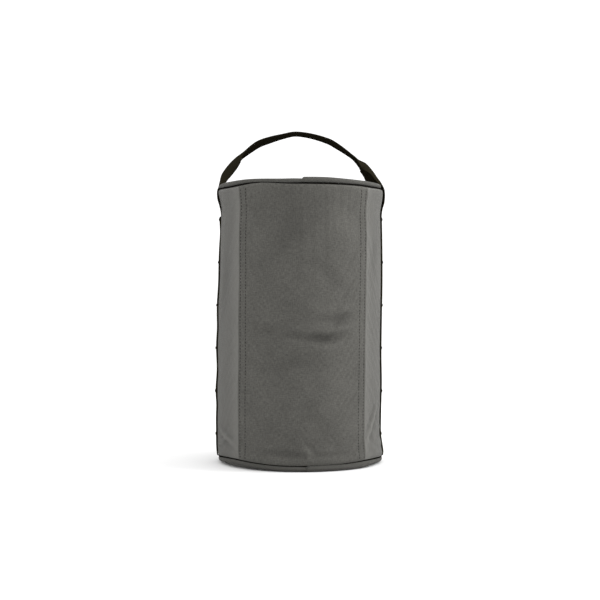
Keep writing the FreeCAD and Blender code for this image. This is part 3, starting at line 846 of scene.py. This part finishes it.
def build_piping():
    rim_press, base_press = (1.3 * MM, 0.4 * MM), (0.8 * MM, -0.5 * MM)
    rim = piping_ring("rim_piping", RIM_Z, math.radians(1.7), 1.05 * MM, rim_shape, rim_press, PIPING)
    base_z = BASE_Z + 0.1 * MM
    base_joint = math.radians(4.4)
    base = piping_ring("base_piping", base_z, base_joint, 0.5 * MM, base_shape, base_press, BASE_PIPING_SHADED)
    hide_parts("rim_piping_cover", "rim_piping_cord")
    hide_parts("base_piping_cover", "base_piping_cord")
    binding_and_seam_shade("rim_binding_and_shade", WALL_HIGH + 0.6 * MM, rim_wander, 1.25 * MM)
    binding_and_seam_shade("base_binding_and_shade", WALL_LOW - 0.1 * MM, base_lift, 1.3 * MM)
    turns, spin = full_circle(180)[:, None], full_circle(24)[None, :]
    section = np.sign(np.cos(spin)) * np.abs(np.cos(spin)) ** 0.5
    for name, node in (("rim_binding", "rim_seam_binding"), ("base_binding", "base_seam_binding")):
        low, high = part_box(node)
        middle, half = (low.z + high.z) / 2, (high.z - low.z) / 2
        wave = 0.2 * MM * ripple(turns * high.x, 0, 29, 0.04)
        rings = around(high.x - 1.2 * MM + 1.1 * MM * section + wave, turns, middle + half * np.sin(spin))
        coords = (turns * high.x, half * np.sin(spin))
        piece = lofted(name, rings, coords, BLACK_TAPE, "case", True)
        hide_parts(node)


# ---------------------------------------------------------------- threads


def capsule_rows(name, threads, thick, material, body):
    """Many short threads as one piece. Each has a start, an end, and a lift for its middle."""
    spin = full_circle(6)
    share = np.array([0, 0.14, 0.5, 0.86, 1.0])
    girth = np.array([0.25, 0.85, 1.0, 0.85, 0.25])
    flatness = 0.8
    verts, faces = [], []
    for start, end, lift in threads:
        run = end - start
        run_unit = run / np.linalg.norm(run)
        up = lift / np.linalg.norm(lift)
        side = np.cross(run_unit, up)
        first = len(verts)
        for s, g in zip(share, girth):
            centre = start + run * s + lift * math.sin(math.pi * s)
            for a in spin:
                verts.append(centre + thick * g * (side * math.cos(a) + up * math.sin(a) * flatness))
        faces += capped_tube(len(share), len(spin), first)
    return make_piece(name, verts, faces, material, body=body)


def panel_stitches():
    """The double rows of lock-stitching down both edges of the front and the back panel."""
    pitch, length, proud = 4.3 * MM, 2.3 * MM, 0.15 * MM
    threads = []
    draw = np.random.RandomState(5)
    back_left, back_right = math.pi - FRONT_RIGHT, math.pi - FRONT_LEFT
    for left, right in ((FRONT_LEFT, FRONT_RIGHT), (back_left, back_right)):
        for edge, inward in ((left, 1), (right, -1)):
            for inset in STITCH_INSETS:
                sunk = hem_offset(np.array([inset]))[0]
                for z in np.arange(WALL_LOW + 4 * MM, WALL_HIGH - 4 * MM, pitch):
                    z = z + draw.uniform(-0.15, 0.15) * MM
                    turn = edge + (inward * inset + hem_drift(edge, z)) / WALL_R
                    slant = draw.uniform(-0.2, 0.2) * MM / WALL_R
                    ends_z = np.array([z, z + length])
                    radius = wall_radius(turn, ends_z) + sunk - seam_inset(ends_z) + proud
                    start = on_wall(radius[0], turn - slant, ends_z[0])
                    end = on_wall(radius[1], turn + slant, ends_z[1])
                    threads.append((start, end, around(0.18 * MM, turn, 0.0)))
    piece = capsule_rows("panel_stitching", threads, 0.48 * MM, GREY_THREAD, "case")


# ---------------------------------------------------------------- webbing

TACK_HEIGHTS = tuple(343.0 - 60.6 * i for i in range(6))

# The handle from its left tack to its right one: the line of its outer face, as x and z in
# millimetres, and how its webbing cups (half angle) and twists there, in degrees
HANDLE_LINE = (
    (-111.2, 346, 0, 0),
    (-111.8, 354, 0, 0),
    (-113.6, 362, 0, 0),
    (-116.2, 371, 0, 0),
    (-117.2, 380, 0, 1),
    (-116.3, 388, 6, 3),
    (-114.1, 398, 45, 10),
    (-110.8, 409, 76, 14),
    (-101.0, 422.4, 80, 15),
    (-92.0, 431.4, 62, 9),
    (-86.4, 435.7, 38, 4),
    (-80.6, 439.4, 22, -1),
    (-73.0, 444.3, 12, -4.5),
    (-59.1, 452.6, 6, -6),
    (-42.2, 458.6, 5, -5),
    (-25, 463.3, 5, -2),
    (-8.2, 466.5, 3, -1),
    (8.8, 465.1, 3, -1.5),
    (25.7, 461.4, 4, -2.5),
    (42.7, 455.7, 5, -3.5),
    (53, 449.8, 5, -3.5),
    (63.3, 442.9, 4, -2),
    (74.3, 434.8, 4, 0),
    (80.2, 430.6, 9, -1),
    (85.6, 427.8, 34, 0),
    (90.8, 425.6, 70, -1),
    (95.6, 422.4, 96, -5),
    (103.4, 412.2, 74, -15),
    (109.3, 402, 72, -22),
    (114.6, 395.4, 55, -16),
    (118.2, 389.2, 16, -5),
    (119.8, 383, 0, 0),
    (120.3, 376, 0, 0),
    (119.4, 366, 0, 0),
    (116.6, 356, 0, 0),
    (115.4, 346, 0, 0),
)


def spline_through(points, per_span):
    """Points along a Catmull-Rom curve through the given ones."""
    p = np.array(points, float)
    p = np.concatenate([[2 * p[0] - p[1]], p, [2 * p[-1] - p[-2]]])
    t = np.arange(per_span)[:, None] / per_span
    spans = []
    for a, b, c, d in zip(p, p[1:], p[2:], p[3:]):
        bent = (2 * a - 5 * b + 4 * c - d) * t**2 + (3 * b - a - 3 * c + d) * t**3
        spans.append(0.5 * (2 * b + (c - a) * t + bent))
    return np.concatenate([*spans, [p[-2]]])


def webbing_columns():
    """Places across the webbing, from -1 to 1, closer together at its rounded selvedges."""
    half = np.array([0, 0.2, 0.4, 0.6, 0.78, 0.9, 0.96, 0.985, 1.0])
    return np.concatenate([-half[:0:-1], half])


def selvedge(columns):
    """How much of the webbing's thickness is left towards its edges."""
    return np.sqrt(np.clip(1 - np.clip((np.abs(columns) - 0.955) / 0.045, 0, 1) ** 2, 0.12, 1))


def build_handle():
    path = spline_through(HANDLE_LINE, 8)
    line = path[:, :2] * MM
    steps = np.linalg.norm(np.diff(line, axis=0), axis=1)
    along = np.concatenate([[0], np.cumsum(steps)])
    tangent = np.gradient(line, along, axis=0)
    tangent /= np.linalg.norm(tangent, axis=1)[:, None]
    count = len(line)
    centre = np.stack([line[:, 0], np.zeros(count), line[:, 1]], axis=1)[:, None, :]
    out = np.stack([-tangent[:, 1], np.zeros(count), tangent[:, 0]], axis=1)[:, None, :]
    width = np.array([0.0, 1.0, 0.0])[None, None, :]
    cup = np.radians(np.maximum(path[:, 2], 0.5))[:, None]
    twist = np.radians(path[:, 3])[:, None]
    columns = webbing_columns()[None, :]
    bend = columns * cup
    sideways = STRAP_HALF / cup * np.sin(bend)
    inward = STRAP_HALF / cup * (1 - np.cos(bend))
    tilted_side = sideways * np.cos(twist) + inward * np.sin(twist)
    tilted_in = inward * np.cos(twist) - sideways * np.sin(twist)
    outer = centre + width * tilted_side[..., None] - out * tilted_in[..., None]
    normal_out = np.cos(bend - twist)[..., None] * out + np.sin(bend - twist)[..., None] * width
    thick = (STRAP_THICK * selvedge(columns) + 0 * cup)[..., None]
    middle = outer - normal_out * STRAP_THICK / 2
    face, back = middle + normal_out * thick / 2, middle - normal_out * thick / 2
    handle = shell("handle_webbing", face, back, (columns * STRAP_HALF, along[:, None]), WEBBING)
    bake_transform(handle)
    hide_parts("handle_strap")


def build_side_straps():
    for side, name in ((-1, "left"), (1, "right")):
        z = np.arange(10.5 * MM, HANDLE_PIVOT_Z + 1 * MM, 1.5 * MM)[:, None]
        columns = webbing_columns()[None, :]
        turn = side * math.pi / 2 + columns * STRAP_HALF / WALL_R
        thick = STRAP_THICK * selvedge(columns)
        middle = strap_radius(turn, z) + STRAP_THICK / 2
        outer, inner = around(middle + thick / 2, turn, z), around(middle - thick / 2, turn, z)
        piece = shell(f"side_webbing_{name}", outer, inner, (columns * STRAP_HALF, z), WEBBING, "case")
        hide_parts(f"side_strap_{name}")
    build_tacks()


def build_tacks():
    """Bar tacks: close zigzag stitches across the strap."""
    threads = []
    for side in (-1, 1):
        for height in TACK_HEIGHTS:
            z = height * MM
            for i, arc in enumerate(np.arange(-17, 17.1, 0.85) * MM):
                turn = side * math.pi / 2 + arc / WALL_R
                lean = 0.35 * MM / WALL_R * (1 if i % 2 else -1)
                radius = strap_radius(turn, z) + STRAP_THICK + 0.3 * MM
                start = around(radius, turn - lean, z - 1.7 * MM)
                end = around(radius, turn + lean, z + 1.7 * MM)
                threads.append((start, end, around(0.35 * MM, turn, 0.0)))
    piece = capsule_rows("bar_tacks", threads, 0.45 * MM, BLACK_THREAD, "case")
    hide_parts("strap_bar_tacks")


# ---------------------------------------------------------------- the top and its zip


def disc_points(radius, ring_count, spokes):
    """The x and the y of rings of points, from the centre out."""
    share = (np.arange(1, ring_count + 1) / ring_count)[:, None]
    angle = full_circle(spokes)[None, :]
    return radius * share * np.cos(angle), radius * share * np.sin(angle)


def padded_disc(name, x, y, top, bottom, material, body):
    """A closed disc from rings of points, outermost last, with its top and bottom heights."""
    rings, spokes = x.shape
    count = rings * spokes
    layers = [np.stack([x, y, z], axis=-1) for z in (top, bottom)]
    middles = [layer[0].mean(axis=0)[None, :] for layer in layers]
    verts = np.concatenate([*(layer.reshape(-1, 3) for layer in layers), *middles])
    faces = grid_faces(rings, spokes, False, True) + grid_faces(rings, spokes, False, True, count, True)
    for j in range(spokes):
        k = (j + 1) % spokes
        last = (rings - 1) * spokes
        faces.append((2 * count, j, k))
        faces.append((2 * count + 1, count + k, count + j))
        faces.append((last + j, last + count + j, last + count + k, last + k))
    return make_piece(name, verts, faces, material, (verts[:, 0], verts[:, 1]), body)


def top_puff(x, y, from_edge):
    """How far the top cloth stands up after settling over the lid's pad, held around its edge and
    along its hinge."""
    crown = 2.2 * MM * smooth(from_edge, (3 * MM, 45 * MM), (0, 1))
    crown *= smooth(y, (HINGE_Y, HINGE_Y + 30 * MM), (0, 1))
    rings, spokes = x.shape
    size = lid_high.x - 6 * MM
    bpy.ops.mesh.primitive_uv_sphere_add(segments=96, ring_count=48, radius=1)
    pad = bpy.context.object
    pad.scale = (size, size, 5 * MM)
    pad.location = (0, 4 * MM, -3.5 * MM)
    held = (from_edge < 4 * MM) | (y < HINGE_Y + 2 * MM)
    middle = np.array([[x[0].mean(), y[0].mean(), crown[0].mean()]])
    points = np.concatenate([np.stack([x, y, crown], axis=-1).reshape(-1, 3), middle])
    faces = grid_faces(rings, spokes, False, True)
    faces += [(rings * spokes, j, (j + 1) % spokes) for j in range(spokes)]
    found = settle_cloth(points, faces, np.append(held.ravel(), False), pad, 0.008)
    return np.clip(found[:-1, 2].reshape(x.shape), -0.8 * MM, 3.5 * MM)


def build_top():
    """The top cloth: the lid and its hinge strip as one piece, creased along the hinge."""
    lid_r = lid_high.x
    x, y = disc_points(1.0, 36, 180)
    angle = np.arctan2(y, x)
    share = np.hypot(x, y)
    rim_r = rim_high.x - 2 * PIPE_R + 0.4 * MM
    hinge_turn = math.acos(-HINGE_Y / lid_r)
    from_front = np.abs((angle + math.pi / 2 + math.pi) % (2 * math.pi) - math.pi)
    reach = smooth(from_front, (hinge_turn - 0.06, hinge_turn - 0.01), (rim_r, lid_r))
    radius = share * reach
    px, py = radius * np.cos(angle), radius * np.sin(angle)
    from_edge = reach - radius
    groove = 0.45 * MM * bell((from_edge - 3.2 * MM) / (1.0 * MM))
    crease = 0.5 * MM * bell((py - HINGE_Y) / (1.6 * MM))
    flat = lid_high.z - 0.1 * MM
    top = flat + top_puff(px, py, from_edge) - groove - crease
    thin = np.where(share > 0.995, 0.7 * MM, 1.0 * MM)
    cover = padded_disc("top_cloth", px, py, top, top - thin, COATED, None)
    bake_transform(cover)
    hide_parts("lid_panel", "hinge_strip")


def build_lid_lining():
    low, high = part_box("lid_lining")
    radius = high.x
    x, y = disc_points(radius, 30, 180)
    y = np.maximum(y, low.y + 0.2 * MM * np.hypot(x, y) / radius)
    edge = radius - np.hypot(x, y)
    near = np.minimum(edge, y - low.y)
    puff = 0.9 * MM * smooth(near, (0, 12 * MM), (0, 1))
    pitch = 40 * MM
    quilt = 0.6 * MM * (hump((x + y) % pitch, 20, 1.6) + hump((x - y) % pitch, 20, 1.6))
    bottom = low.z + 1.0 * MM - puff + quilt * smooth(near, (6 * MM, 16 * MM), (0, 1))
    top = lid_low.z - 0.5 * MM + 0 * x
    piece = padded_disc("lid_padding", x, y, top, bottom, LINING, "lid")
    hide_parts("lid_foam", "lid_lining")


def zip_span(body):
    """The turn, each way from the far centre, over which a half of the zip runs. The lid's half
    stops short, clear of the rim when the lid hangs open."""
    clearance = 7 * MM
    half = math.pi - math.acos(-case_coil_low.y / case_coil_high.x)
    return half - (clearance / ZIP_R if body == "lid" else 0)


def tape_strip(name, node, r_in, r_out, body):
    """One half of the zip's tape, between two radii."""
    half = zip_span(body)
    turns = (math.pi + np.linspace(-half, half, 240))[:, None]
    share = np.linspace(0, 1, 7)[None, :]
    radius = r_in + (r_out - r_in) * share
    wave = 0.12 * MM * ripple(turns * ZIP_R, radius, 47, 0.03)
    top = tape_high.z - 0.05 * MM + wave
    outer, inner = around(radius, turns, top), around(radius, turns, top - 0.6 * MM)
    piece = shell(name, outer, inner, (radius, turns * ZIP_R), BLACK_TAPE, body)
    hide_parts(node)


def coil_elements(name, node, outward, body):
    """One coil of a zip: a loop of monofilament at every pitch, its head towards the centre line."""
    pitch, width, height = 1.65 * MM, 3.0 * MM, 2.0 * MM
    half = zip_span(body)
    count = int(2 * half * ZIP_R / pitch)
    spin = full_circle(6)
    loop = np.linspace(0.08, 0.92, 9) * 2 * math.pi
    verts, faces = [], []
    centre_z = coil_low.z + height / 2
    wire = 0.36 * MM
    offset = 0.5 if outward > 0 else 0.0
    for i in range(count):
        turn = math.pi - half + (i + offset + 0.25) * pitch / ZIP_R
        away = np.array([math.sin(turn), -math.cos(turn), 0.0])
        along = np.array([math.cos(turn), math.sin(turn), 0.0])
        first = len(verts)
        for a in loop:
            reach = ZIP_R + outward * (width / 2 + 0.15 * MM - (width / 2 - wire) * math.cos(a + math.pi))
            shift = pitch * 0.28 * math.sin(a)
            middle = away * reach + along * shift
            middle[2] = centre_z + (height / 2 - wire) * math.sin(a)
            radial = away * outward * -math.cos(a + math.pi) + np.array([0, 0, math.sin(a)])
            radial /= np.linalg.norm(radial)
            for s in spin:
                verts.append(middle + wire * (radial * math.cos(s) + along * math.sin(s)))
        faces += capped_tube(len(loop), len(spin), first)
    piece = make_piece(name, verts, faces, NYLON, body=body)
    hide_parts(node)


def build_zip():
    tape_strip("tape_case", "zip_tape_case", ZIP_R + 0.3 * MM, tape_high.x, "case")
    tape_strip("tape_lid", "zip_tape_lid", lid_high.x - 2.5 * MM, ZIP_R - 0.3 * MM, "lid")
    coil_elements("coil_case", "zip_coil_case", 1, "case")
    coil_elements("coil_lid", "zip_coil_lid", -1, "lid")
    tab_low, tab_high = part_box("zip_end_tabs")
    length = 12 * MM
    for name, low_x in (("zip_tab_left", tab_low.x), ("zip_tab_right", tab_high.x - length)):
        xs = np.linspace(low_x, low_x + length, 13)[:, None]
        ys = np.linspace(tab_low.y, tab_high.y + 1.5 * MM, 9)[None, :]
        mid_x, mid_y = low_x + length / 2, (tab_low.y + tab_high.y) / 2
        dome = (1 - np.abs((xs - mid_x) / (6 * MM)) ** 6) * (1 - np.abs((ys - mid_y) / (3.6 * MM)) ** 4)
        top = tab_low.z + 1.1 * MM * np.sqrt(np.clip(dome, 0, 1))
        flat = np.stack(np.broadcast_arrays(xs, ys, top), axis=-1)
        under = np.stack(np.broadcast_arrays(xs, ys, tab_low.z - 0.3 * MM + 0 * top), axis=-1)
        piece = shell(name, flat, under, (xs, ys), BLACK_TAPE, "case")
        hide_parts("zip_end_tabs")


def edge_stitches():
    """The row of stitches that holds the lid's edge to its zip tape."""
    threads = []
    pitch, length = 3.2 * MM, 2.3 * MM
    radius = lid_high.x - 3.2 * MM
    up = np.array([0, 0, 0.15 * MM])
    half = zip_span("lid")
    z = lid_high.z - 0.3 * MM
    for arc in np.arange(-half * radius, half * radius, pitch):
        turn = math.pi + arc / radius
        threads.append((around(radius, turn, z), around(radius, turn + length / radius, z), up))
    piece = capsule_rows("lid_stitching", threads, 0.36 * MM, GREY_THREAD, "lid")


def build_base():
    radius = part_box("base_panel")[1].x + 1.5 * MM
    board_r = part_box("base_board")[1].x
    x, y = disc_points(radius, 80, 160)
    distance = np.hypot(x, y)
    near_rim = smooth(distance, (radius - 4 * MM, radius), (0, 1))
    share = smooth(distance, (board_r, radius), (0, 0.86))
    share += smooth(distance, (board_r - 15 * MM, board_r), (0, 0.14))
    lifted = base_lift(np.arctan2(x, -y)) * share
    uneven = 0.12 * MM * (1 + ripple(x, y, 53, 0.05)) * (1 - near_rim)
    bottom = 0.15 * MM + 1.0 * MM * near_rim + lifted + uneven
    piece = padded_disc("base_cloth", x, y, bottom + 1.0 * MM, bottom, COATED, "case")
    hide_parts("base_panel")
    lining_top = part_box("base_lining")[1]
    x, y = disc_points(lining_top.x, 16, 120)
    top = lining_top.z - 0.3 * MM + 0.2 * MM * ripple(x, y, 59, 0.05)
    piece = padded_disc("base_pad_cloth", x, y, top, top - 0.5 * MM, LINING, "case")
    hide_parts("base_lining")


# ---------------------------------------------------------------- the hard pieces stay CAD


def paint_cad():
    looks = {
        "zip_slider": BLACK_METAL,
        "zip_pull": BLACK_METAL,
        "canister_shell": MOULDED,
        "canister_lid": LID_PLASTIC,
        "lock_": STEEL,
        "base_board": BOARD,
        "base_foam": FOAM,
        "piping_cord": CORD,
    }
    for name, node in frame["nodes"].items():
        for part, material in looks.items():
            if part in name:
                node.data.materials.clear()
                node.data.materials.append(material)


# ---------------------------------------------------------------- floor, light and camera


def build_studio():
    bpy.ops.mesh.primitive_plane_add(size=40, location=(0, 0, 0))
    floor = bpy.context.object
    floor.name = "floor"
    material = bpy.data.materials.new("floor_paint")
    material.use_nodes = True
    tree = material.node_tree
    shader = tree.nodes["Principled BSDF"]
    grain = noise_at(tree, object_place(tree), 30, 2)
    paint = blend_colours(tree, grain, (0.90, 0.90, 0.90), (0.92, 0.92, 0.92))
    feed(tree, shader.inputs["Base Color"], paint)
    shader.inputs["Roughness"].default_value = 0.9
    floor.data.materials.append(material)

    world = bpy.data.worlds.new("studio")
    bpy.context.scene.world = world
    world.use_nodes = True
    background = world.node_tree.nodes["Background"]
    background.inputs["Color"].default_value = (1, 1, 1, 1)
    background.inputs["Strength"].default_value = 1.2

    for name, place, size, power in (
        ("key", (2.39, -0.21, 1.3), 1.2, 50),
        ("fill", (-2.1, -0.8, 1.0), 1.6, 6),
        ("top", (0.2, 0.3, 2.4), 1.8, 6),
    ):
        light = bpy.data.lights.new(name, "AREA")
        light.size = size
        light.energy = power
        lamp = bpy.data.objects.new(name, light)
        lamp.location = place
        direction = -lamp.location
        direction.z += 0.2
        lamp.rotation_mode = "QUATERNION"
        lamp.rotation_quaternion = direction.to_track_quat("-Z", "Y")
        bpy.context.scene.collection.objects.link(lamp)
    bpy.context.scene.view_settings.view_transform = "Standard"

    camera_data = bpy.data.cameras.new("camera")
    camera_data.sensor_width = 36
    camera_data.lens = 71.62
    camera = bpy.data.objects.new("camera", camera_data)
    camera.location = (0.0003, -1.70, 0.229)
    camera.rotation_euler = (math.radians(90), 0, 0)
    bpy.context.scene.collection.objects.link(camera)
    bpy.context.scene.camera = camera


build_wall()
build_piping()
panel_stitches()
build_handle()
build_side_straps()
build_top()
build_lid_lining()
build_zip()
edge_stitches()
build_base()
paint_cad()
build_studio()
